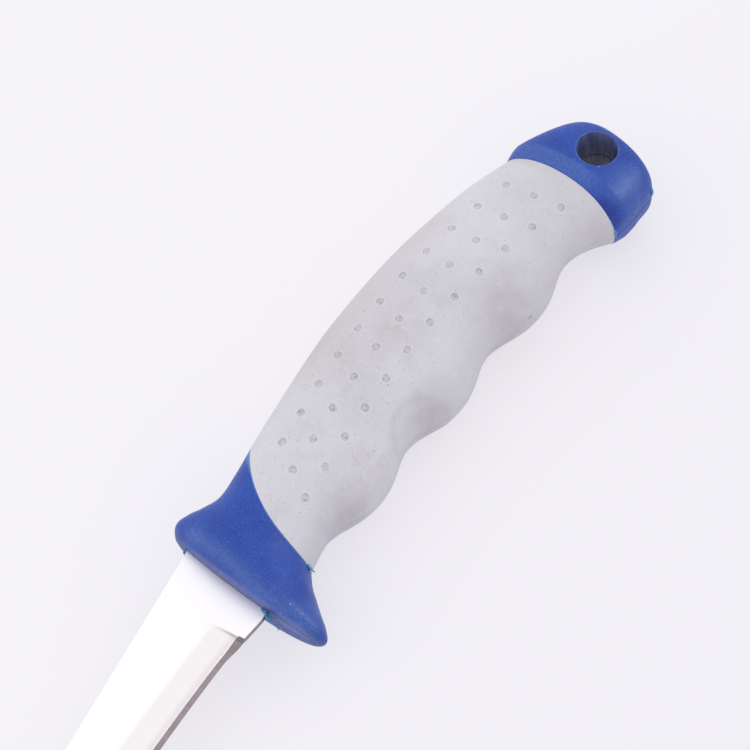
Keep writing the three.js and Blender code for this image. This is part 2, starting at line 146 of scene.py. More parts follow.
# Pommel: its outline's points are offsets from the rear seam's ends
POMMEL_SPINE = ((0.0, 0.0), (-3.3, 0.8), (-9.0, 4.5), (-13.0, 8.3), (-14.3, 12.7))
POMMEL_BELLY = ((0.0, 0.0), (-3.8, 1.2), (-7.2, 1.8), (-12.3, 1.8), (-15.0, -5.4))
POMMEL_END_BOW = -1.0
COLLAR_HALF = 9.9
COLLAR_SHARE = 0.22
POMMEL_END_HALF = 8.9
POMMEL_ROUND_SHARE = 0.38
POMMEL_ROUND_POWER = 2.6
POMMEL_SQUARENESS = 3.2
LANYARD_RADIUS = 4.0
LANYARD_ROUND = 0.25
LANYARD_BACK = 105.9
LANYARD_DOWN = 30.9
LANYARD_PARTING = 0.22  # depth and half width of the groove halfway down the hole

# Section of the handle, and the moulding line where the two halves of the mould met
SQUARENESS = 2.35
PARTING_RIDGE = 0.09
PARTING_WIDTH = 0.16
PARTING_RISE = 0.06  # share of the pommel over which its moulding line rises

# Density of the meshes and searches
ACROSS = 150
FINE_ANGLES = np.array([0.0, 0.0015, 0.004, 0.008, 0.014, 0.022])  # samples at the moulding line
FINE_END = 0.03
GRIP_ROWS = 300
LINING_STEP = 8  # rows outside for one row of the sleeve's lining
GUARD_ROWS = 50  # of the nose, and as many of the neck
CORE_ROWS = 40
POMMEL_BORDER = 60
POMMEL_RINGS = 110
BORDER_GAPS = np.array([3e-4, 1e-4, 3e-5, 1e-5, 3e-6, 6e-7, 1e-7])  # rings close to the pommel's border
HOLE_ROWS = 6
PLUNGE_ROWS = 12
BLADE_ROWS = 140
BLADE_CROWDING = 1.4  # sets the blade's rows closer together near the heel
BEVEL_LINES = 14
STRAND_ROWS = 16
STRAND_CORNERS = 10
DIMPLE_SEARCH = 500
PLAN_SEARCH = 60
NEWTON_COUNT = 12
NEWTON_STEP = 1e-4
CURVE_POINTS = 80
EDGE_POINTS = 400

# Camera, at the photograph's viewing angle
CAMERA_AZIMUTH = math.radians(38.15)
CAMERA_ELEVATION = math.radians(65.0)
CAMERA_ROLL = math.radians(-10.0)
CAMERA_DISTANCE = 0.456
CAMERA_LENS = 115.2
CAMERA_SENSOR = 36.0
AIM_BACK = 47.73
AIM_DOWN = 13.34

# Drawing to frame: the blade's box gives the tip, the spine and the middle of the thickness.
blade_low, blade_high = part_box("blade")
ZERO = np.array([blade_high[0] - BLADE_LENGTH * MM, blade_low[1], (blade_low[2] + blade_high[2]) / 2])


def place(points):
    """Points of the drawing, in metres of the frame."""
    return np.asarray(points, float) * MM + ZERO


def lerp(a, b, share):
    return a + (b - a) * share


def smooth(share):
    """Soft step from 0 to 1."""
    share = np.clip(share, 0.0, 1.0)
    return share * share * (3.0 - 2.0 * share)


def bell(value, width):
    """1 at a value of 0, falling softly on both sides."""
    return np.exp(-((value / width) ** 2))


def points2(x, y):
    return np.stack([x, y], -1)


def unit(vectors):
    """The vectors at length 1, and 0 for those without a length."""
    return vectors / np.maximum(np.linalg.norm(vectors, axis=-1, keepdims=True), 1e-9)


def upper_side(points):
    """The points, with those of the lower side mirrored up."""
    return np.concatenate([points[:, :2], np.abs(points[:, 2:])], -1)


def spline(points, share):
    """Smooth curve through the points, spaced evenly over share 0 to 1."""
    p = np.asarray(points, float)
    last = len(p) - 1
    position = np.clip(np.asarray(share, float) * last, 0, last)
    i = np.minimum(position.astype(int), last - 1)
    w = (position - i)[..., None]
    before, start, end, after = p[np.maximum(i - 1, 0)], p[i], p[i + 1], p[np.minimum(i + 2, last)]
    leave, arrive = (end - before) / 2, (after - start) / 2
    cubic = (2 * start - 2 * end + leave + arrive) * w**3
    square = (-3 * start + 3 * end - 2 * leave - arrive) * w**2
    return cubic + square + leave * w + start


# Handle surface
def spine_line(back):
    """Y of the spine at a distance behind the drawing's zero."""
    run = np.maximum(back - SPINE_STRAIGHT, 0.0)
    dip = SPINE_DIP * smooth((back - REAR_SEAM_SPINE + SPINE_DIP_RUN) / SPINE_DIP_RUN)
    return SPINE_OFFSET + SPINE_RADIUS - np.sqrt(SPINE_RADIUS**2 - run**2) + dip


def groove_line(back):
    """Y of the straight line that the finger grooves touch."""
    return GROOVE_DEPTH + BELLY_SLOPE * np.maximum(back - FIRST_GROOVE, 0.0)


def groove_point(finger):
    """Plan point at the bottom of one finger groove."""
    back = FIRST_GROOVE + finger * FINGER_PITCH
    return np.array([-back, groove_line(back)])


def belly_line(back):
    """Y of the belly: the grooves' line with the swells and the flares at both seams."""
    run = back - FIRST_GROOVE
    swells = FINGER_COUNT * FINGER_PITCH
    turn = 2 * np.pi * run / FINGER_PITCH
    wave = SWELL_HEIGHT * (1 - np.cos(turn + SWELL_WIDEN * np.sin(turn))) / 2
    front = FRONT_FLARE * (np.minimum(run, 0.0) / (FIRST_GROOVE - FRONT_SEAM_BELLY)) ** 2
    rear = REAR_FLARE * (np.maximum(run - swells, 0.0) / (REAR_SEAM_BELLY - FIRST_GROOVE - swells)) ** 2
    return groove_line(back) + np.where((run > 0) & (run < swells), wave, 0.0) + front + rear


def scoop_distance(plan, finger):
    """Distance in plan from the middle of one finger groove's scoop, in radii of its arc."""
    middle = groove_point(finger) + SCOOP_CENTRE
    return np.linalg.norm(plan - middle, axis=-1) / SCOOP_RADIUS


def finger_scoop(plan):
    """Share of the height that the finger grooves take away at each plan point."""
    taken = np.zeros(plan.shape[:-1])
    for finger, share in enumerate(SCOOP_SHARES):
        away = scoop_distance(plan, finger)
        bowl = np.clip(1 - away**2, 0, 1) if finger == CRISP_SCOOP else smooth(1 - away / SOFT_RIM)
        taken = np.maximum(taken, share * bowl)
    return taken


def grip_station(u):
    """Spine point, belly point, bow, half thickness and squareness at a share u of the grip's length."""
    spine_back = lerp(FRONT_SEAM_SPINE, REAR_SEAM_SPINE, u)
    belly_back = lerp(FRONT_SEAM_BELLY, REAR_SEAM_BELLY, u)
    barrel = GRIP_HALF - (FRONT_SEAM_HALF + REAR_SEAM_HALF) / 2
    half = lerp(FRONT_SEAM_HALF, REAR_SEAM_HALF, u) + barrel * np.sin(np.pi * np.clip(u, 0, 1))
    spine = points2(-spine_back, spine_line(spine_back))
    belly = points2(-belly_back, belly_line(belly_back))
    return spine, belly, lerp(FRONT_SEAM_BOW, REAR_SEAM_BOW, u), half, SQUARENESS


def core_station(inset):
    """The grip without its swells, drawn in by an inset."""

    def station(u):
        spine, belly, bow, half, square = grip_station(u)
        belly = points2(belly[..., 0], groove_line(-belly[..., 0]))
        across = unit(belly - spine)
        return spine + across * inset, belly - across * inset, bow, half - inset, square

    return station


SEAM_FRONT = grip_station(0.0)[:2]
SEAM_REAR = grip_station(1.0)[:2]


def lobe_line(outline, neck, lean, lobe, seam):
    """Points of one side of the guard: round its lobe, then along the neck to the seam."""
    points = [(lean + x, seam[1] + lobe * out) for x, out in outline]
    share, out = neck
    points.append((lerp(points[-1][0], seam[0], share), seam[1] + lobe * out))
    return points + [seam]


GUARD_SPINE = lobe_line(GUARD_SPINE_OUTLINE, GUARD_NECK, 0.0, -GUARD_SPINE_LOBE, SEAM_FRONT[0])
GUARD_BELLY = lobe_line(GUARD_BELLY_OUTLINE, GUARD_THROAT, GUARD_LEAN, GUARD_BELLY_LOBE, SEAM_FRONT[1])


def guard_station(u):
    """The same five values from the guard's front land to the front seam."""
    nose = np.clip(u / NOSE_SHARE, 0, 1)
    rounded = np.sqrt(np.maximum(1 - (1 - nose) ** 2, 0.0))
    neck_share = smooth((u - NOSE_SHARE) / (1 - NOSE_SHARE))
    nose_half = lerp(GUARD_LAND_HALF, GUARD_RIDGE_HALF, rounded)
    half = nose_half + (FRONT_SEAM_HALF - GUARD_RIDGE_HALF) * neck_share
    bow = lerp(GUARD_BOW, FRONT_SEAM_BOW, u)
    return spline(GUARD_SPINE, u), spline(GUARD_BELLY, u), bow, half, SQUARENESS


def pommel_station(u):
    """The same five values from the rear seam to the pommel's end."""
    spine = spline(SEAM_REAR[0] + POMMEL_SPINE, u)
    belly = spline(SEAM_REAR[1] + POMMEL_BELLY, u)
    rise = np.minimum(u / COLLAR_SHARE, 1.0)
    top = lerp(COLLAR_HALF, POMMEL_END_HALF, np.maximum((u - COLLAR_SHARE) / (1 - COLLAR_SHARE), 0.0))
    end = np.maximum((u - POMMEL_ROUND_SHARE) / (1 - POMMEL_ROUND_SHARE), 0.0)
    round_off = np.maximum(1 - end**POMMEL_ROUND_POWER, 0.0) ** (1 / POMMEL_ROUND_POWER)
    half = np.where(rise < 1, lerp(REAR_SEAM_HALF, COLLAR_HALF, rise), top) * round_off
    bow = lerp(REAR_SEAM_BOW, POMMEL_END_BOW, u)
    square = lerp(SQUARENESS, POMMEL_SQUARENESS, rise)
    return spine, belly, bow, half, square


def surface(station, u, v):
    """Points of the upper side at share u along a zone and v across it, from the spine to the belly."""
    u, v = np.broadcast_arrays(np.asarray(u, float), np.asarray(v, float))
    spine, belly, bow, half, square = station(u)
    chord = belly - spine
    normal = unit(points2(chord[..., 1], -chord[..., 0]))
    plan = spine + chord * v[..., None] + normal * (bow * 4 * v * (1 - v))[..., None]
    height = half * np.maximum(1 - np.abs(2 * v - 1) ** square, 0.0) ** (1 / square)
    if station is grip_station:
        height = height * (1 - finger_scoop(plan))
    return np.concatenate([plan, height[..., None]], -1)


def across_samples():
    """Shares across the handle, even along its rounded section and closer at the moulding line."""
    even = np.linspace(0, np.pi, ACROSS + 1)[1:-1]
    even = even[(even > FINE_END) & (even < np.pi - FINE_END)]
    cosine = np.cos(np.concatenate([FINE_ANGLES, even, np.pi - FINE_ANGLES[::-1]]))
    share = (1 - np.sign(cosine) * np.abs(cosine) ** (2 / SQUARENESS)) / 2
    share[0], share[-1] = 0.0, 1.0
    return share


SHARES_ACROSS = across_samples()


def normals_of(grid):
    """Unit normals of a grid of points, pointing up."""
    normal = unit(np.cross(np.gradient(grid, axis=0), np.gradient(grid, axis=1)))
    return normal * np.where(normal[..., 2:] < 0, -1.0, 1.0)


def raise_parting(grid):
    """Lifts the thin moulding line along both edges of a zone's grid."""
    outward = np.zeros_like(grid)
    half = grid.shape[1] // 2
    fine = len(FINE_ANGLES)
    for edge, inner, side in ((0, fine, slice(0, half)), (-1, -1 - fine, slice(half, None))):
        outward[:, side, :2] = unit(grid[:, edge, :2] - grid[:, inner, :2])[:, None]
    lift = PARTING_RIDGE * bell(grid[..., 2:], PARTING_WIDTH)
    return grid + outward * lift


# Mesh building
def add_object(name, data):
    """A new object in the scene."""
    item = bpy.data.objects.new(name, data)
    bpy.context.scene.collection.objects.link(item)
    return item


class Skin:
    """Points and faces of one mesh, collected piece by piece and welded at the end."""

    def __init__(self):
        self.points, self.faces, self.slots = [], [], []

    def add(self, grid, flip=False, slot=0):
        rows, columns = grid.shape[:2]
        first = sum(len(p) for p in self.points)
        self.points.append(grid.reshape(-1, 3))
        index = first + np.arange(rows * columns).reshape(rows, columns)
        corners = (index[:-1, :-1], index[:-1, 1:], index[1:, 1:], index[1:, :-1])
        quads = np.stack(corners, -1).reshape(-1, 4)
        self.faces.append(quads[:, ::-1] if flip else quads)
        self.slots.append(np.full(len(quads), slot))

    def both_sides(self, grid, flip=False, slot=0):
        self.add(grid, flip, slot)
        self.add(grid * MIRROR, not flip, slot)

    def build(self, name, materials, sharp_angle=35.0, weld=0.002):
        points = np.concatenate(self.points)
        key = np.round(points / weld).astype(np.int64)
        _, first, inverse = np.unique(key, axis=0, return_index=True, return_inverse=True)
        faces = inverse.reshape(-1)[np.concatenate(self.faces)]
        kept_faces, kept_slots = [], []
        for face, slot in zip(faces.tolist(), np.concatenate(self.slots).tolist()):
            corners = list(dict.fromkeys(face))
            if len(corners) > 2:
                kept_faces.append(corners)
                kept_slots.append(slot)
        mesh = bpy.data.meshes.new(name)
        mesh.from_pydata(place(points[first]).tolist(), [], kept_faces)
        mesh.polygons.foreach_set("material_index", kept_slots)
        mesh.polygons.foreach_set("use_smooth", [True] * len(kept_faces))
        mesh.validate()
        mesh.update()
        mesh.set_sharp_from_angle(angle=math.radians(sharp_angle))
        for material in materials:
            mesh.materials.append(material)
        return add_object(name, mesh)


def drawing_points(piece):
    """The piece's vertices, back in the drawing's millimetres."""
    flat = np.zeros(len(piece.data.vertices) * 3)
    piece.data.vertices.foreach_get("co", flat)
    return (flat.reshape(-1, 3) - ZERO) / MM


def set_field(piece, name, values):
    """Stores one number for each vertex, for the material to read."""
    field = piece.data.attributes.new(name, "FLOAT", "POINT")
    field.data.foreach_set("value", np.asarray(values, np.float32))


# Materials
def srgb(red, green, blue):
    """Linear colour of an sRGB colour given as 0 to 255."""

    def linear(value):
        value /= 255.0
        return value / 12.92 if value <= 0.04045 else ((value + 0.055) / 1.055) ** 2.4

    return linear(red), linear(green), linear(blue), 1.0


def set_inputs(node, values):
    """Sets a node's inputs by their names."""
    for name, value in values.items():
        node.inputs[name].default_value = value


class Nodes:
    """A material's node tree, with short calls for the nodes used here."""

    def __init__(self, name):
        self.material = bpy.data.materials.new(name)
        self.material.use_nodes = True
        self.tree = self.material.node_tree
        self.shader = self.tree.nodes["Principled BSDF"]
        self.where = self.new("ShaderNodeTexCoord").outputs["Object"]
        self.colour = None  # base colour, built up in layers

    def new(self, kind, **values):
        node = self.tree.nodes.new(kind)
        for key, value in values.items():
            setattr(node, key, value)
        return node

    def link(self, source, target):
        self.tree.links.new(source, target)

    def feed(self, socket, value):
        """Links a socket to another one, or sets it to a constant."""
        if isinstance(value, bpy.types.NodeSocket):
            self.link(value, socket)
        else:
            socket.default_value = value

    def set(self, name, value):
        self.feed(self.shader.inputs[name], value)

    def stretch(self, x, y, z, turn=0.0, shift=0.0):
        """Coordinates that run faster along each axis, turned about Z and shifted."""
        node = self.new("ShaderNodeMapping", vector_type="TEXTURE")
        set_inputs(node, {"Location": [shift] * 3, "Rotation": (0.0, 0.0, turn)})
        node.inputs["Scale"].default_value = (1 / x, 1 / y, 1 / z)
        self.link(self.where, node.inputs["Vector"])
        return node.outputs["Vector"]

    def noise(self, scale, detail=3.0, rough=0.5, vector=None):
        node = self.new("ShaderNodeTexNoise")
        set_inputs(node, {"Scale": scale, "Detail": detail, "Roughness": rough})
        self.link(vector or self.where, node.inputs["Vector"])
        return node.outputs["Fac"]

    def field(self, name):
        return self.new("ShaderNodeAttribute", attribute_name=name).outputs["Fac"]

    def ramp(self, value, low, high, from_value=0.0, to_value=1.0):
        node = self.new("ShaderNodeMapRange", interpolation_type="SMOOTHSTEP")
        set_inputs(node, {"From Min": low, "From Max": high, "To Min": from_value, "To Max": to_value})
        self.link(value, node.inputs["Value"])
        return node.outputs["Result"]

    def math(self, operation, a, b):
        node = self.new("ShaderNodeMath", operation=operation)
        self.feed(node.inputs[0], a)
        self.feed(node.inputs[1], b)
        return node.outputs["Value"]

    def mix(self, factor, a, b):
        node = self.new("ShaderNodeMix", data_type="RGBA")
        for name, value in (("Factor_Float", factor), ("A_Color", a), ("B_Color", b)):
            self.feed(next(s for s in node.inputs if s.identifier == name), value)
        return next(s for s in node.outputs if s.identifier == "Result_Color")

    def tint(self, mask, new, share=None):
        """Lays a new colour, or a share of it, over the base colour where the mask is 1."""
        if share is not None:
            mask = self.math("MULTIPLY", mask, share)
        self.colour = self.mix(mask, self.colour, new)

    def band(self, value, rise, fall):
        """1 between two ramps, each given by where it begins and ends."""
        return self.math("MULTIPLY", self.ramp(value, *rise), self.ramp(value, *fall, 1.0, 0.0))

    def specks(self, scale, size, share):
        """Small round spots: 1 inside a spot, in a share of the cells."""
        node = self.new("ShaderNodeTexVoronoi")
        node.inputs["Scale"].default_value = scale
        self.link(self.where, node.inputs["Vector"])
        parts = self.new("ShaderNodeSeparateColor")
        self.link(node.outputs["Color"], parts.inputs["Color"])
        chosen = self.math("LESS_THAN", parts.outputs["Red"], share)
        inside = self.ramp(node.outputs["Distance"], size * 0.6, size, 1.0, 0.0)
        return self.math("MULTIPLY", chosen, inside)

    def near(self, point, reach):
        """1 at a point of the drawing, falling to 0 at a reach in millimetres."""
        node = self.new("ShaderNodeVectorMath", operation="DISTANCE")
        self.link(self.where, node.inputs[0])
        node.inputs[1].default_value = place(point)
        return self.ramp(node.outputs["Value"], 0.0, reach * MM, 1.0, 0.0)

    def spots(self, places, mask=0.0):
        """A mask with soft spots added, each given by a point of the drawing and its reach."""
        for point, reach in places:
            mask = self.math("MAXIMUM", mask, self.near(point, reach))
        return mask

    def bump(self, height, strength, distance, under=None):
        node = self.new("ShaderNodeBump")
        set_inputs(node, {"Strength": strength, "Distance": distance})
        self.link(height, node.inputs["Height"])
        if under is not None:
            self.link(under, node.inputs["Normal"])
        return node.outputs["Normal"]


# Spots on the grip: a point of the drawing and its reach
DARK_PATCHES = (
    ((-28.4, 22.6, 7.4), 8.0), ((-20.2, 23.7, 3.5), 6.0), ((-43.7, 6.9, 10.3), 9.0),
    ((-54.2, 15.0, 11.5), 9.0), ((-46.0, 12.0, 11.4), 7.0), ((-69.0, 33.2, 2.8), 6.0),
    ((-70.0, 26.0, 7.0), 7.0),
)
ORANGE_SPECK = ((-47.1, 25.3, 7.9), 0.7)
DARK_MARK = ((-71.1, 34.4, 1.8), 0.8)
SCRATCHES = ((0.5, 0.0), (-0.9, 7.0), (1.4, 3.0))  # each direction's angle and its shift


def grey_rubber():
    n = Nodes("grey_rubber")
    # Own colour in soft clouds, dirt all over, and more darkening in brownish patches
    cloud = n.ramp(n.noise(55.0, 4.0, 0.6), 0.35, 0.65)
    n.colour = n.mix(cloud, srgb(209, 207, 213), srgb(216, 215, 222))
    dirt = n.ramp(n.noise(150.0, 6.0, 0.7), 0.50, 0.72)
    n.tint(dirt, srgb(182, 178, 177), 0.22)
    blotch = n.math("MULTIPLY", n.spots(DARK_PATCHES), n.ramp(n.noise(260.0, 7.0, 0.75), 0.38, 0.68))
    n.tint(blotch, srgb(180, 170, 163), 0.40)
    # Wear along the spine, and painted shade on the swells' flanks
    worn = n.ramp(n.noise(110.0, 4.0, 0.6), 0.35, 0.65, 0.25, 0.8)
    n.tint(n.field("spine"), srgb(200, 193, 188), worn)
    shaded = n.ramp(n.noise(240.0, 5.0, 0.7), 0.3, 0.7, 0.42, 0.72)
    n.tint(n.field("flank"), srgb(172, 167, 172), shaded)
    # Specks, mottle and scratches
    n.tint(n.specks(420.0, 0.075, 0.20), srgb(118, 110, 106), 0.65)
    n.tint(n.specks(1300.0, 0.17, 0.24), srgb(118, 112, 110), 0.6)
    n.tint(n.near(*ORANGE_SPECK), srgb(226, 176, 128), 0.8)
    n.tint(n.near(*DARK_MARK), srgb(120, 112, 110), 0.6)
    mottle = n.ramp(n.noise(1300.0, 3.0, 0.7), 0.3, 0.7, 0.0, 0.22)
    n.tint(mottle, srgb(192, 189, 194))
    for turn, shift in SCRATCHES:
        scratch = n.noise(1.0, 3.0, 0.6, n.stretch(260.0, 3000.0, 500.0, turn, shift))
        n.tint(n.ramp(scratch, 0.67, 0.77, 0.0, 0.4), srgb(150, 142, 138))
    n.tint(n.field("parting"), srgb(150, 146, 152), 0.2)
    # Dimples: bluish floor and uneven dark wall as painted shade, grime inside, and a pale rim as a
    # painted highlight
    dimple = n.field("dimple")
    floor = n.ramp(dimple, 0.55, 0.85, 0.24, 0.0)
    n.tint(floor, srgb(172, 173, 186))
    wall = n.band(dimple, (0.60, 0.88), (0.95, 1.1))
    uneven = n.ramp(n.noise(900.0, 3.0, 0.6), 0.38, 0.62, 0.10, 0.52)
    n.tint(wall, srgb(146, 143, 154), uneven)
    inside = n.ramp(dimple, 0.7, 0.95, 1.0, 0.0)
    grime = n.math("MULTIPLY", inside, n.ramp(n.noise(1700.0, 2.0), 0.56, 0.66))
    n.tint(grime, srgb(128, 123, 126), 0.5)
    n.tint(n.band(dimple, (1.05, 1.2), (1.25, 1.5)), srgb(226, 225, 232), 0.4)
    n.set("Base Color", n.colour)
    n.set("Roughness", n.ramp(n.noise(900.0, 3.0), 0.3, 0.7, 0.62, 0.74))
    n.set("Specular IOR Level", 0.3)
    fine = n.bump(n.noise(2600.0, 4.0, 0.6), 0.12, 0.0002)
    n.set("Normal", n.bump(n.noise(180.0, 3.0), 0.12, 0.0006, fine))
    return n.material


# Spots on the plastic: scuffs on the guard, places of pale painted sheen, and the collar's corner in
# painted shade
SCUFFS = (
    ((1.7, 19.0, 8.5), 4.5), ((0.8, 15.0, 8.8), 4.0), ((-1.1, 1.2, 6.5), 4.5), ((3.6, 26.0, 4.0), 4.0),
)
SHEEN_SPOTS = (((2.2, 26.5, 4.5), 5.0), ((-101.8, 39.6, 7.8), 7.0), ((-108.0, 40.5, 4.0), 6.0))
COLLAR_SHADE_SPOTS = (((-95.9, 37.2, 7.3), 3.0), ((-96.0, 38.6, 6.0), 3.0), ((-95.8, 40.0, 4.0), 2.6))


def blue_plastic():
    n = Nodes("blue_plastic")
    # Own colour in soft clouds, a fine pale grain and pale specks
    cloud = n.ramp(n.noise(140.0, 4.0, 0.6), 0.35, 0.65)
    n.colour = n.mix(cloud, srgb(14, 62, 158), srgb(20, 70, 168))
    grain = n.ramp(n.noise(3600.0, 2.0, 0.6), 0.52, 0.78)
    n.tint(grain, srgb(108, 138, 198), 0.36)
    n.tint(n.specks(520.0, 0.10, 0.16), srgb(170, 188, 220), 0.6)
    # Scuffs, and the pale painted sheen, but no sheen where the collar's painted shade makes the blue deep
    fleck = n.ramp(n.noise(1.0, 4.0, 0.7, n.stretch(3600.0, 1500.0, 3600.0, 0.3)), 0.52, 0.74)
    scuffed = n.math("MULTIPLY", n.spots(SCUFFS), fleck)
    n.tint(scuffed, srgb(150, 168, 206), 0.38)
    pale = n.spots(SHEEN_SPOTS, n.field("pale"))
    pale = n.math("MULTIPLY", pale, n.ramp(n.noise(2600.0, 3.0, 0.6), 0.3, 0.7, 0.4, 1.0))
    collar_shade = n.spots(COLLAR_SHADE_SPOTS)
    pale = n.math("MULTIPLY", pale, n.math("SUBTRACT", 1.0, collar_shade))
    n.tint(pale, srgb(104, 137, 196), 0.42)
    n.tint(collar_shade, srgb(4, 44, 140), 0.85)
    # Painted shade at the blade, streaked shade and reflection painted on the hole's wall, and rim
    # highlights
    n.tint(n.field("slot"), srgb(16, 36, 84))
    streak = n.noise(1.0, 4.0, 0.6, n.stretch(900.0, 900.0, 90.0))
    wall = n.mix(n.ramp(streak, 0.38, 0.62), srgb(74, 82, 126), srgb(120, 119, 160))
    n.tint(n.field("bore"), wall)
    n.tint(n.field("rim"), srgb(92, 148, 218))
    n.set("Base Color", n.colour)
    n.set("Roughness", n.ramp(n.noise(1600.0, 3.0), 0.3, 0.7, 0.38, 0.50))
    n.set("Specular IOR Level", 0.42)
    n.set("Normal", n.bump(n.noise(3000.0, 3.0, 0.6), 0.22, 0.0002))
    return n.material


def polished_steel():
    n = Nodes("polished_steel")
    streak = n.noise(1.0, 4.0, 0.6, n.stretch(2200.0, 90.0, 90.0))
    flat = n.mix(streak, srgb(247, 245, 247), srgb(251, 249, 252))
    ground = n.mix(streak, srgb(232, 228, 226), srgb(240, 236, 235))
    bevel = n.field("bevel")
    n.colour = n.mix(n.ramp(bevel, 0.0, 0.25), flat, ground)
    n.tint(n.band(bevel, (0.70, 0.93), (0.94, 1.0)), srgb(216, 210, 213), 0.6)
    # Dark line of painted shade where the bevel starts
    n.tint(n.field("plunge"), srgb(150, 142, 144), 0.75)
    n.set("Base Color", n.colour)
    n.set("Metallic", 1.0)
    n.set("Roughness", n.ramp(streak, 0.3, 0.7, 0.36, 0.42))
    n.set("Normal", n.bump(streak, 0.02, 0.00002))
    return n.material


def ground_edge():
    n = Nodes("ground_edge")
    streak = n.noise(1.0, 5.0, 0.7, n.stretch(3200.0, 140.0, 140.0))
    n.set("Base Color", n.mix(n.ramp(streak, 0.3, 0.7), srgb(132, 122, 126), srgb(150, 140, 143)))
    n.set("Metallic", 1.0)
    n.set("Roughness", 0.36)
    n.set("Normal", n.bump(streak, 0.10, 0.00005))
    return n.material


def flash_plastic():
    n = Nodes("flash_plastic")
    thin = n.noise(1500.0, 3.0)
    n.set("Base Color", n.mix(thin, srgb(40, 120, 186), srgb(96, 178, 214)))
    n.set("Roughness", 0.4)
    return n.material


FLOOR_GLOW = 0.68  # share of the floor's white that a shadow doesn't darken
FLOOR_FADE = (-0.03, 0.09)  # metres along Y over which the floor's glow is painted a little darker


def floor_white():
    n = Nodes("floor_white")
    path = n.new("ShaderNodeLightPath")
    seen = n.math("MAXIMUM", path.outputs["Is Camera Ray"], path.outputs["Is Glossy Ray"])
    seen = n.math("MAXIMUM", seen, path.outputs["Is Transmission Ray"])
    pale = srgb(247, 246, 251)
    across = n.new("ShaderNodeSeparateXYZ")
    n.link(n.where, across.inputs["Vector"])
    glow = n.mix(n.ramp(across.outputs["Y"], *FLOOR_FADE), srgb(247, 245, 249), srgb(241, 239, 244))
    dimmed = tuple(c * (1 - FLOOR_GLOW) for c in pale[:3]) + (1.0,)
    n.set("Base Color", n.mix(seen, pale, dimmed))
    n.set("Emission Color", glow)
    n.set("Emission Strength", n.math("MULTIPLY", seen, FLOOR_GLOW))
    n.set("Roughness", 0.9)
    n.set("Specular IOR Level", 0.0)
    return n.material


# Grip
def dimple_centres():
    """Each dimple's centre on the upper side, from the nearest point of a fine grid."""
    shares = np.linspace(0, 1, DIMPLE_SEARCH)
    flat = surface(grip_station, shares[:, None], shares).reshape(-1, 3)
    centres = []
    for below, sag, first, pitch, count in DIMPLE_ROWS:
        back = first
        for i in range(count):
            down = spine_line(back) + below + sag * (1 - (1 - i / (count - 1)) ** 2)
            gap = np.hypot(flat[:, 0] + back, flat[:, 1] - down)
            centres.append(flat[gap.argmin()])
            slant = max(back - SPINE_STRAIGHT, 0.0) / SPINE_RADIUS
            back += pitch * (1 + DIMPLE_STRETCH * i) * math.sqrt(1 - slant**2)
    return centres


def dimple_distance(points, centres):
    """Distance of each point to the nearest dimple's centre, in dimple radii."""
    away = np.full(points.shape[:-1], FAR)
    for centre in centres:
        away = np.minimum(away, np.linalg.norm(points - centre, axis=-1) / DIMPLE_RADIUS)
    return away


# Shaded flanks of the swells: the groove in front, the shade's middle from its lowest point, the shade's
# reach along and across the belly, and its strength
FLANKS = (
    (0, (-5.2, 2.4), (7.5, 5.6), 0.55),
    (1, (-5.0, 1.8), (5.4, 4.4), 0.62), (1, (-8.0, 1.6), (8.5, 6.0), 0.50),
    (2, (-5.5, 1.0), (7.0, 5.0), 0.62), (2, (-9.0, -1.0), (9.5, 9.0), 0.55),
    (3, (-7.5, 3.5), (5.0, 4.5), 0.35),
)
CREASE_AT = 1.02  # middle of the crisp scoop's rim, in radii of its arc like the spread
CREASE_SPREAD = 0.08
CREASE_SHADE = 0.35
BELLY_REACH = 3.0  # reach of the shade along the belly
BELLY_SHADE = 0.25


def flank_shade(points):
    """How much painted shade darkens the rubber on the swells' flanks, along the crisp scoop's rim and at
    the belly.
    """
    lit = np.ones(len(points))
    for finger, middle, (along, across), strength in FLANKS:
        gap = points[:, :2] - groove_point(finger) - middle
        run = (gap[:, 0] - BELLY_SLOPE * gap[:, 1]) / along
        rise = (gap[:, 1] + BELLY_SLOPE * gap[:, 0]) / across
        lit *= 1 - strength * smooth(1 - np.hypot(run, rise))
    crease = bell(scoop_distance(points[:, :2], CRISP_SCOOP) - CREASE_AT, CREASE_SPREAD)
    edge = smooth(1 - (belly_line(-points[:, 0]) - points[:, 1]) / BELLY_REACH)
    return 1 - lit * (1 - CREASE_SHADE * crease) * (1 - BELLY_SHADE * edge)


# Wear along the spine: start and end behind the drawing's zero, fade, and reach downwards
WORN_START = 30.0
WORN_END = 88.0
WORN_FADE = 14.0
WORN_REACH = 10.0


def spine_wear(points):
    """1 on the worn part of the grip's spine, fading downwards and to both ends."""
    back = -points[:, 0]
    span = smooth((back - WORN_START) / WORN_FADE) * smooth((WORN_END - back) / WORN_FADE)
    below_spine = points[:, 1] - spine_line(np.clip(back, 0.0, REAR_SEAM_SPINE))
    return smooth(1 - below_spine / WORN_REACH) * span


PARTING_SHADE = 0.2  # half height of the grip's darker moulding line


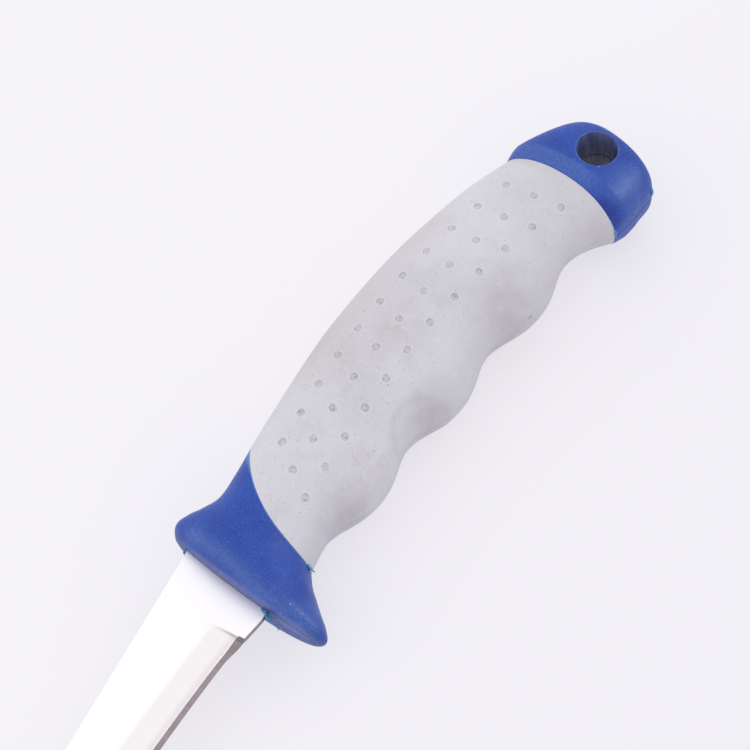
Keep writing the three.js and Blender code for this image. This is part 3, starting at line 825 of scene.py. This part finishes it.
def grip_rubber():
    ends = SEAM_GAP / (REAR_SEAM_SPINE - FRONT_SEAM_SPINE)
    u = np.linspace(ends, 1 - ends, GRIP_ROWS)[:, None]
    v = SHARES_ACROSS
    plain = surface(grip_station, u, v)
    centres = dimple_centres()
    away = dimple_distance(plain, centres)
    rim = DIMPLE_RIM * bell(away - DIMPLE_RIM_AT, DIMPLE_RIM_SPREAD)
    lift = rim - DIMPLE_DEPTH * smooth((DIMPLE_EDGE - away) / DIMPLE_WALL)
    outer = raise_parting(plain + normals_of(plain) * lift[..., None])
    lining = core_station(SLEEVE_WALL - SLEEVE_CLEARANCE)
    inner = np.concatenate([surface(lining, u[:-1:LINING_STEP], v), surface(lining, u[-1:], v)])
    skin = Skin()
    skin.both_sides(outer, flip=True)
    skin.both_sides(inner)
    skin.both_sides(np.stack([inner[0], outer[0]]), flip=True)
    skin.both_sides(np.stack([outer[-1], inner[-1]]), flip=True)
    piece = skin.build("grip_rubber", [grey_rubber()])
    points = upper_side(drawing_points(piece))
    set_field(piece, "dimple", dimple_distance(points, centres))
    set_field(piece, "flank", flank_shade(points))
    set_field(piece, "spine", spine_wear(points))
    set_field(piece, "parting", bell(points[:, 2], PARTING_SHADE))
    return piece


# Guard, core and pommel
def invert(station, plan_points):
    """Shares u and v of points given in plan, by a coarse search and Newton steps."""
    shares = np.linspace(0.02, 0.98, PLAN_SEARCH)
    grid_u, grid_v = (a.reshape(-1) for a in np.meshgrid(shares, shares))
    tried = surface(station, grid_u, grid_v)[:, :2]
    best = np.linalg.norm(plan_points[:, None] - tried[None], axis=-1).argmin(1)
    u, v = grid_u[best], grid_v[best]
    for _ in range(NEWTON_COUNT):
        here = surface(station, u, v)[:, :2]
        by_u = (surface(station, u + NEWTON_STEP, v)[:, :2] - here) / NEWTON_STEP
        by_v = (surface(station, u, v + NEWTON_STEP)[:, :2] - here) / NEWTON_STEP
        miss = plan_points - here
        det = by_u[:, 0] * by_v[:, 1] - by_u[:, 1] * by_v[:, 0]
        u = u + (miss[:, 0] * by_v[:, 1] - miss[:, 1] * by_v[:, 0]) / det
        v = v + (by_u[:, 0] * miss[:, 1] - by_u[:, 1] * miss[:, 0]) / det
    return u, v


def lanyard_wall(hole, ray, brim):
    """Rows of the lanyard hole's wall, from its upper rounding to its lower one."""
    rows = []
    for turn in np.linspace(0, np.pi / 2, HOLE_ROWS):
        radius = LANYARD_RADIUS + LANYARD_ROUND * (1 - math.sin(turn))
        height = brim - LANYARD_ROUND * (1 - math.cos(turn))
        rows.append(np.concatenate([hole + ray * radius, height[:, None]], -1))
    for deeper, height in ((0.0, LANYARD_PARTING), (LANYARD_PARTING, 0.0)):
        level = np.full((len(ray), 1), height)
        rows.append(np.concatenate([hole + ray * (LANYARD_RADIUS + deeper), level], -1))
    return np.stack(rows + [row * MIRROR for row in reversed(rows[:-1])])


def pommel_skin(skin):
    """The pommel as a ring of faces from the lanyard hole out to its border, and the hole's wall."""
    v = SHARES_ACROSS
    along = np.sin(np.linspace(0, np.pi / 2, POMMEL_BORDER))
    border_u = np.concatenate([np.zeros_like(v), along[1:], np.ones_like(v)[1:], along[::-1][1:]])
    border_v = np.concatenate([v, np.ones_like(along)[1:], v[::-1][1:], np.zeros_like(along)[1:]])
    border = surface(pommel_station, border_u, border_v)
    hole = np.array([-LANYARD_BACK, LANYARD_DOWN])
    angle = np.arctan2(border[:, 1] - hole[1], border[:, 0] - hole[0])
    ray = points2(np.cos(angle), np.sin(angle))
    hole_u, hole_v = invert(pommel_station, hole + ray * (LANYARD_RADIUS + LANYARD_ROUND))
    even = (1 - np.cos(np.linspace(0, np.pi, POMMEL_RINGS))) / 2
    out = np.sort(np.concatenate([even, 1 - BORDER_GAPS]))[:, None]
    top = surface(pommel_station, lerp(hole_u, border_u, out), lerp(hole_v, border_v, out))
    lift = PARTING_RIDGE * bell(top[..., 2], PARTING_WIDTH) * smooth(border_u / PARTING_RISE)
    top[..., :2] += ray * lift[..., None]
    skin.both_sides(top)
    skin.add(lanyard_wall(hole, ray, top[0, :, 2]), flip=True)


def near_curve(points, curve, reach):
    """Distance to a curve on the upper side, and its nearest point's number, within a reach in X."""
    away = np.full(len(points), FAR)
    nearest = np.zeros(len(points), int)
    x = points[:, 0]
    chosen = np.where((x > curve[:, 0].min() - reach) & (x < curve[:, 0].max() + reach))[0]
    gap = np.linalg.norm(upper_side(points[chosen])[:, None] - curve[None], axis=-1)
    away[chosen] = gap.min(1)
    nearest[chosen] = gap.argmin(1)
    return away, nearest


# Bright rim along the guard's seam: its thin flash, brightened by a painted highlight
RIM_WIDTH = 0.24
RIM_WEDGE = 1.1  # extra width at the spine
RIM_WEDGE_END = 0.34  # share across the handle where the extra width ends
RIM_WEDGE_RUN = 0.3
RIM_END = 1.12  # where the rim's colour ends, in widths from the seam like the fade
RIM_FADE = 0.6
RIM_STRENGTH = 0.6


def seam_rim(points):
    """Strength of the thin bright rim along the guard's seam, a painted highlight on its flash."""
    v = SHARES_ACROSS
    seam = surface(guard_station, 1.0, v)
    away, nearest = near_curve(points, seam, RIM_END * (RIM_WIDTH + RIM_WEDGE))
    width = RIM_WIDTH + RIM_WEDGE * smooth((RIM_WEDGE_END - v[nearest]) / RIM_WEDGE_RUN)
    return RIM_STRENGTH * smooth((RIM_END - away / width) / RIM_FADE)


# Painted shade at the blade's slot, and a painted highlight on the lip below it
SLOT_REACH = 2.2
SLOT_DARK = 0.75
SLOT_MARGIN = 1.0  # how far the dark line runs past the blade's sides
NOSE_REACH = 5.0
NOSE_DARK = 0.38
LIP_START = 1.5  # how far below the blade the lip begins
LIP_RISE = 1.5
LIP_DARK = 0.6  # share of the dark line that the lip has
LIP_REACH = 0.45
LIP_FADE = 0.3


def slot_line(points):
    """Strengths of the painted shade at the blade, a dark line with deeper blue behind, and of the pale
    lip's painted highlight.
    """
    land = surface(guard_station, 0.0, SHARES_ACROSS)
    away, nearest = near_curve(points, land, NOSE_REACH)
    down = land[nearest, 1]
    beside_blade = (down > -SLOT_MARGIN) & (down < HEEL_WIDTH + SLOT_MARGIN)
    below_blade = smooth((down - HEEL_WIDTH - LIP_START) / LIP_RISE)
    line = SLOT_DARK * smooth(1 - away / SLOT_REACH) * np.maximum(beside_blade, LIP_DARK * below_blade)
    dark = np.maximum(line, NOSE_DARK * smooth(1 - away / NOSE_REACH))
    lip = smooth((LIP_REACH - away) / LIP_FADE) * below_blade
    return dark * (1 - lip), lip


# Painted sheen: pale bands on the pommel's collar and along the guard's nose
COLLAR_CREST = 0.6  # share of the collar where the painted sheen is strongest
COLLAR_REACH = 2.1
COLLAR_FADE = 0.9
COLLAR_END = 0.9  # share across the handle where the painted sheen ends
COLLAR_END_FADE = 0.35
RIDGE_WIDTH = 1.8
NOSE_RIDGE = (
    (-2.0, 1.0, 6.5), (-1.1, 4.6, 8.1), (-0.1, 9.6, 8.8), (1.8, 15.8, 8.3),
    (2.8, 21.5, 7.4), (2.3, 26.0, 6.6), (2.6, 29.3, 4.7),
)


def painted_sheen(points):
    """Painted sheen as pale grain on the pommel's collar, fading towards the belly, and along the guard's
    nose.
    """
    v = SHARES_ACROSS
    crest = surface(pommel_station, COLLAR_CREST * COLLAR_SHARE, v)
    away, nearest = near_curve(points, crest, COLLAR_REACH)
    collar = smooth((COLLAR_REACH - away) / COLLAR_FADE)
    collar *= smooth((COLLAR_END - v[nearest]) / COLLAR_END_FADE)
    ridge = spline(NOSE_RIDGE, np.linspace(0, 1, CURVE_POINTS))
    away, _ = near_curve(points, ridge, FAR)
    return np.maximum(collar, bell(away, RIDGE_WIDTH))


# Lanyard hole's colours, by the distance from its wall in radii of its rounding: painted shade and
# reflection on the wall, a painted highlight on the brims
BORE_END = 0.3
BRIM_AT = 0.5
BRIM_HALF = 0.75
BRIM_STRENGTH = 0.15
BRIM_HEIGHT = 5.0  # leaves out the groove halfway down


def handle_shell():
    v = SHARES_ACROSS
    nose = NOSE_SHARE * (1 - np.cos(np.linspace(0, np.pi / 2, GUARD_ROWS)))
    neck = np.linspace(NOSE_SHARE, 1, GUARD_ROWS)[1:]
    guard = raise_parting(surface(guard_station, np.concatenate([nose, neck])[:, None], v))
    core = surface(core_station(SLEEVE_WALL), np.linspace(0, 1, CORE_ROWS)[:, None], v)
    rear = surface(pommel_station, 0.0, v)[None]
    skin = Skin()
    skin.both_sides(np.concatenate([guard, core, rear]), flip=True)
    skin.add(np.stack([guard[0], guard[0] * MIRROR]))
    pommel_skin(skin)
    piece = skin.build("handle_shell", [blue_plastic()])
    points = drawing_points(piece)
    # bore: the wall's painted shade and reflection; rim: painted highlights on the seam and the brims
    from_axis = np.hypot(points[:, 0] + LANYARD_BACK, points[:, 1] - LANYARD_DOWN)
    from_wall = (from_axis - LANYARD_RADIUS) / LANYARD_ROUND
    set_field(piece, "bore", from_wall < BORE_END)
    on_brim = (np.abs(from_wall - BRIM_AT) < BRIM_HALF) & (np.abs(points[:, 2]) > BRIM_HEIGHT)
    set_field(piece, "rim", np.maximum(seam_rim(points), BRIM_STRENGTH * on_brim))
    # slot: painted shade at the blade's slot and on the nose behind it
    dark, lip = slot_line(points)
    set_field(piece, "slot", dark)
    # pale: the painted sheen on the collar and the nose, and the lip's painted highlight
    set_field(piece, "pale", np.maximum(painted_sheen(points), lip))
    return piece


# Blade with its tang
def edge_point(share):
    """Point of the cutting edge at a share from the plunge to the tip."""
    start = np.array([RICASSO_LENGTH + PLUNGE_LENGTH, HEEL_WIDTH - RICASSO_TAPER - EDGE_STEP])
    heel = np.array([start[0] + HEEL_REACH, MIDDLE_WIDTH])
    tip_pull = np.array([BLADE_LENGTH - TIP_REACH, MIDDLE_WIDTH])
    tip = np.array([BLADE_LENGTH, 0.0])
    rest = 1 - share
    return rest**3 * start + 3 * rest**2 * share * heel + 3 * rest * share**2 * tip_pull + share**3 * tip


def blade_row(x, width, ground, tip_share=0.0):
    """Upper half of one section, from the spine over the flat and the bevel to the edge."""
    half = BLADE_THICKNESS / 2
    bevel = min(BEVEL_WIDTH, BEVEL_LIMIT * width)
    flare_start = RICASSO_LENGTH + FLARE_START * PLUNGE_LENGTH
    flare = EDGE_FLARE * (1 - smooth((x - flare_start) / FLARE_RUN)) * ground
    edge_bevel = min(EDGE_BEVEL_WIDTH + flare, EDGE_BEVEL_LIMIT * width)
    round_off = min(SPINE_ROUND, ROUND_LIMIT * width)
    row = [
        (x, 0.0, half - round_off),
        (x, ROUND_MIDDLE * round_off, half - ROUND_MIDDLE * round_off),
        (x, round_off, half),
        (x, (width - bevel) * 0.5, half),
    ]
    for share in np.linspace(0, 1, BEVEL_LINES):
        height = lerp(half, EDGE_BEVEL_THICKNESS / 2, share**BEVEL_POWER)
        row.append((x, width - bevel + (bevel - edge_bevel) * share, lerp(half, height, ground)))
    row.append((x, width, lerp(half - round_off, EDGE_THICKNESS / 2, ground)))
    return np.array(row) * (1, 1, 1 - tip_share)


def tang_skin(skin):
    """The tang as a plain plate, open where it joins the heel."""
    half = BLADE_THICKNESS / 2
    low, high = TANG_SPINE_GAP, TANG_SPINE_GAP + TANG_WIDTH
    top = np.array([[(x, low, half), (x, high, half)] for x in (-TANG_LENGTH, -HEEL_INSERT)])
    skin.both_sides(top)
    for column, flip in ((0, True), (1, False)):
        skin.add(np.stack([top[:, column], top[:, column] * MIRROR], 1), flip)
    skin.add(np.stack([top[0], top[0] * MIRROR], 1))


# Start of the bevel and its dark line of painted shade, in shares of the plunge and then of the bevel
BEVEL_BEGIN = 0.2
PLUNGE_LINE = 0.25
PLUNGE_LINE_WIDTH = 0.2
PLUNGE_LINE_FROM = 0.25
PLUNGE_LINE_RISE = 0.6


def bevel_share(points):
    """0 on the flat of the blade, rising from 0 at the bevel's upper line to 1 at its lower line."""
    edge = edge_point(np.linspace(0, 1, EDGE_POINTS)[:, None])
    width = np.interp(points[:, 0], edge[:, 0], edge[:, 1])
    share = (points[:, 1] - width + BEVEL_WIDTH) / (BEVEL_WIDTH - EDGE_BEVEL_WIDTH)
    begin = RICASSO_LENGTH + BEVEL_BEGIN * PLUNGE_LENGTH
    return np.where(points[:, 0] > begin, np.clip(share, 0, 1), 0.0)


def blade_steel():
    ricasso = HEEL_WIDTH - RICASSO_TAPER
    rows = [
        blade_row(-HEEL_INSERT, HEEL_WIDTH, 0.0),
        blade_row(HEEL_FRONT, HEEL_WIDTH, 0.0),
        blade_row(RICASSO_LENGTH, ricasso, 0.0),
    ]
    ricasso_rows = len(rows)
    for share in np.linspace(0, 1, PLUNGE_ROWS)[1:-1]:
        ground = 1 - (1 - share) ** 2
        rows.append(blade_row(RICASSO_LENGTH + PLUNGE_LENGTH * share, ricasso, ground))
    for share in np.linspace(0, 1, BLADE_ROWS) ** BLADE_CROWDING:
        x, width = edge_point(share)
        step = EDGE_STEP * (1 - smooth((x - RICASSO_LENGTH - PLUNGE_LENGTH) / FLARE_RUN))
        tip_share = smooth(1 - (1 - share) / TIP_THINNING)
        rows.append(blade_row(x, max(width + step, TIP_WIDTH), 1.0, tip_share))
    grid = np.array(rows)
    last = grid.shape[1] - 1
    skin = Skin()
    skin.both_sides(grid[:, :last])
    skin.both_sides(grid[:ricasso_rows, last - 1:])
    skin.both_sides(grid[ricasso_rows - 1:, last - 1:], slot=1)
    skin.add(np.stack([grid[:, last] * MIRROR, grid[:, last]], 1), slot=1, flip=True)
    skin.add(np.stack([grid[:, 0] * MIRROR, grid[:, 0]], 1))
    skin.add(np.stack([grid[0] * MIRROR, grid[0]]), flip=True)
    tang_skin(skin)
    piece = skin.build("blade_steel", [polished_steel(), ground_edge()], sharp_angle=7.0)
    points = drawing_points(piece)
    share = bevel_share(points)
    set_field(piece, "bevel", share)
    into_plunge = (points[:, 0] - RICASSO_LENGTH) / PLUNGE_LENGTH
    line = bell(into_plunge - PLUNGE_LINE, PLUNGE_LINE_WIDTH)
    set_field(piece, "plunge", line * smooth((share - PLUNGE_LINE_FROM) / PLUNGE_LINE_RISE))
    return piece


# Mould flash at the blade's slot: each strand's points and its radius
SLOT_STRANDS = (
    (((3.1, 17.8, 1.05), (3.5, 18.9, 1.2), (3.7, 20.0, 1.0), (3.9, 21.0, 0.9)), 0.24),
    (((3.4, 19.1, 1.2), (4.1, 19.7, 1.4), (4.2, 20.6, 1.1)), 0.18),
    (((3.8, 20.3, 1.0), (4.5, 21.1, 0.9), (4.7, 22.2, 0.5), (5.0, 22.7, 0.3)), 0.12),
    (((-0.6, -0.4, 0.9), (0.1, -0.5, 0.8), (0.6, 0.0, 1.0)), 0.16),
)
# Mould flash on the belly: zone, share along it, shares across it, how far each point stands out, radius
BELLY_STRANDS = (
    (grip_station, 0.0, (0.984, 0.993, 0.998), (0.1, 0.3, 0.2), 0.3),
    (grip_station, 0.0, (0.985, 0.997, 0.999), (0.0, 0.5, 1.0), 0.14),
    (pommel_station, 0.0, (0.945, 0.962, 0.978, 0.988), (0.0, 0.02, 0.02, 0.05), 0.08),
    (pommel_station, 0.0, (0.987, 0.995, 0.999, 0.9999), (0.1, 0.3, 0.2, 0.3), 0.16),
    (pommel_station, 0.68, (0.990, 0.997, 0.9999), (0.0, 0.2, 0.1), 0.28),
)


def strand(skin, points, radius):
    """Thin bent strand of plastic, pointed at both ends."""
    share = np.linspace(0, 1, STRAND_ROWS)
    middle = spline(points, share)
    along = unit(np.gradient(middle, axis=0))
    side = unit(np.cross(along, (0.0, 0.0, 1.0)))
    over = np.cross(side, along)
    turn = np.linspace(0, 2 * np.pi, STRAND_CORNERS)[None, :, None]
    ring = np.cos(turn) * side[:, None] + np.sin(turn) * over[:, None]
    width = radius * np.sqrt(1 - (2 * share - 1) ** 4)
    skin.add(middle[:, None] + ring * width[:, None, None])


def mould_flash():
    skin = Skin()
    for points, radius in SLOT_STRANDS:
        strand(skin, points, radius)
    for station, share, across, out, radius in BELLY_STRANDS:
        points = surface(station, share, across)
        points[:, 1] += out
        strand(skin, points, radius)
    return skin.build("mould_flash", [flash_plastic()])


# Stage
FLOOR_HALF = 3.0
TENT_COLOUR = (0.985, 0.975, 1.0, 1.0)
TENT_LIGHT = 1.1
TENT_OPENING = (0.55, 0.75, 0.30)  # direction of the tent's open side, which gives less light
OPENING_LIGHT = 0.8
SHEEN_DIRECTION = (-0.2, 0.66, 0.68)
SHEEN_DISTANCE = 1.3
SHEEN_SIZE = 0.9
SHEEN_RADIANCE = 3.5


def make_floor():
    mesh = bpy.data.meshes.new("floor")
    corners = [(x * FLOOR_HALF, y * FLOOR_HALF, 0) for x, y in ((-1, -1), (1, -1), (1, 1), (-1, 1))]
    mesh.from_pydata(corners, [], [(0, 1, 2, 3)])
    mesh.materials.append(floor_white())
    floor = add_object("floor", mesh)


def make_camera():
    back = Vector((
        math.cos(CAMERA_ELEVATION) * math.cos(CAMERA_AZIMUTH),
        math.cos(CAMERA_ELEVATION) * math.sin(CAMERA_AZIMUTH),
        math.sin(CAMERA_ELEVATION),
    ))
    level = Vector((0, 0, 1)).cross(back).normalized()
    upright = back.cross(level)
    right = math.cos(CAMERA_ROLL) * level + math.sin(CAMERA_ROLL) * upright
    up = back.cross(right)
    data = bpy.data.cameras.new("camera")
    data.lens = CAMERA_LENS
    data.sensor_width = CAMERA_SENSOR
    camera = add_object("camera", data)
    turn = Matrix((right, up, back)).transposed().to_4x4()
    aim = Vector(place((-AIM_BACK, AIM_DOWN, 0.0)))
    camera.matrix_world = Matrix.Translation(aim + back * CAMERA_DISTANCE) @ turn
    bpy.context.scene.camera = camera


def make_tent():
    """Even white light from all round, a little less from the tent's open side."""
    world = bpy.data.worlds.new("studio")
    world.use_nodes = True
    tree = world.node_tree
    background = tree.nodes["Background"]
    background.inputs["Color"].default_value = TENT_COLOUR
    direction = tree.nodes.new("ShaderNodeTexCoord").outputs["Generated"]
    towards = tree.nodes.new("ShaderNodeVectorMath")
    towards.operation = "DOT_PRODUCT"
    tree.links.new(direction, towards.inputs[0])
    towards.inputs[1].default_value = Vector(TENT_OPENING).normalized()
    fade = tree.nodes.new("ShaderNodeMapRange")
    fade.interpolation_type = "SMOOTHSTEP"
    set_inputs(fade, {"From Min": 0.0, "From Max": 1.0, "To Min": TENT_LIGHT, "To Max": OPENING_LIGHT})
    tree.links.new(towards.outputs["Value"], fade.inputs["Value"])
    tree.links.new(fade.outputs["Result"], background.inputs["Strength"])
    bpy.context.scene.world = world


def make_sheen():
    """Round softbox that faces the knife and shows only as gloss on the belly's side."""
    data = bpy.data.lights.new("belly_sheen", "AREA")
    data.shape = "DISK"
    data.size = SHEEN_SIZE
    data.energy = SHEEN_RADIANCE * math.pi * math.pi * (SHEEN_SIZE / 2) ** 2
    light = add_object("belly_sheen", data)
    towards = Vector(SHEEN_DIRECTION).normalized()
    light.location = towards * SHEEN_DISTANCE
    light.rotation_euler = (-towards).to_track_quat("-Z", "Y").to_euler()
    light.visible_diffuse = False


bpy.context.scene.view_settings.view_transform = "Standard"
make_camera()
make_tent()
make_sheen()
make_floor()

for piece, node, slot in (
    (blade_steel(), "blade", "stainless_steel"),
    (handle_shell(), "handle_core", "blue_plastic"),
    (grip_rubber(), "grip_sleeve", "grey_rubber"),
):
    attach(piece, "root")
    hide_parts(node)
flash = mould_flash()
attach(flash, "root")
